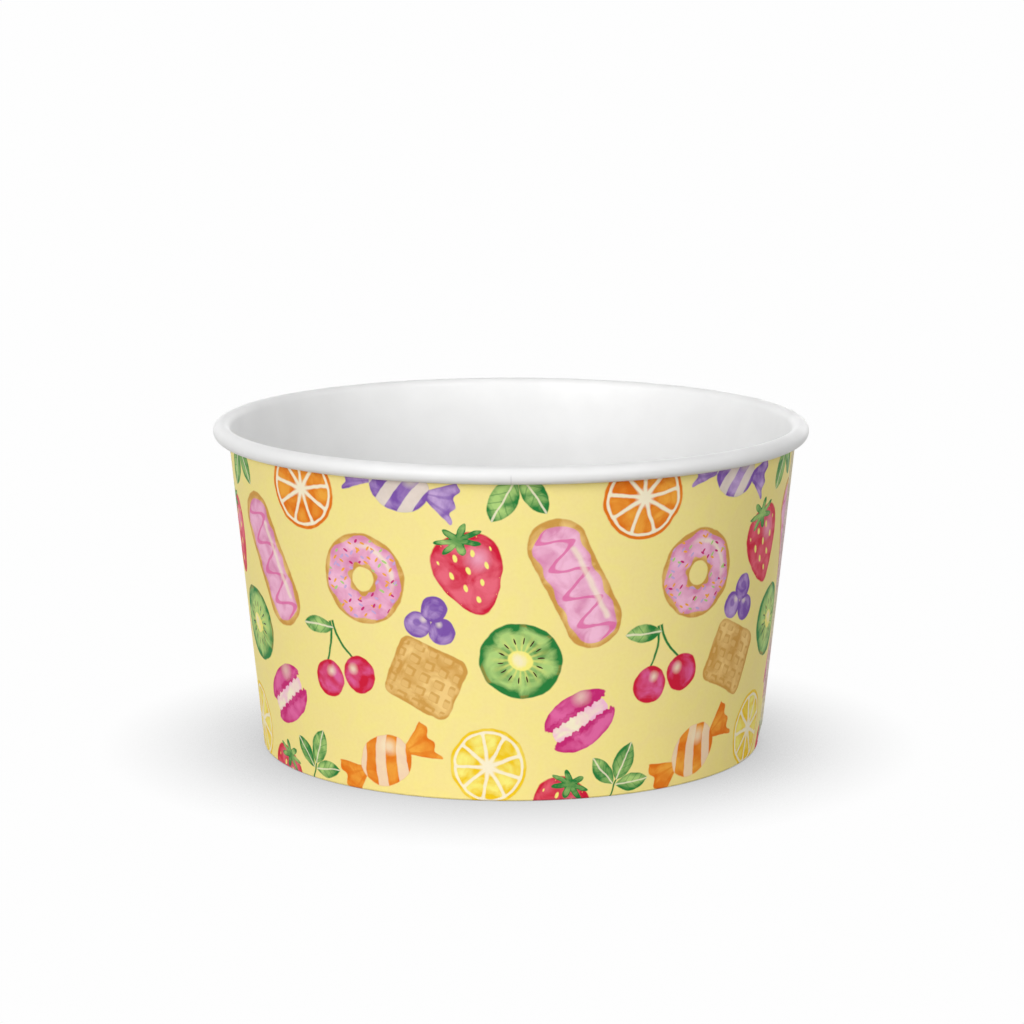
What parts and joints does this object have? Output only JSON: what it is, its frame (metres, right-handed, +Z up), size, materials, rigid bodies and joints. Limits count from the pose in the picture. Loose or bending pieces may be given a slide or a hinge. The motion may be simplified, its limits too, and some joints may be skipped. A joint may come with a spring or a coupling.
{
  "type": "paper dessert cup",
  "caption": "Short round paper dessert cup with tapered sides, a rolled rim, a lapped side seam and a raised base, open at the top.",
  "frame": {"origin": "on the cup's axis at the table, which the foot's fold rests on", "axes": "+Z up along the cup's axis, towards the open rim; +X towards the lapped side seam"},
  "size_m": [0.096, 0.096, 0.053],
  "materials": {
    "sidewall": "satin",
    "base_disc": "satin"
  },
  "bodies": {
    "root": {"sidewall": "sidewall", "base_disc": "base_disc"}
  },
  "joints": []
}
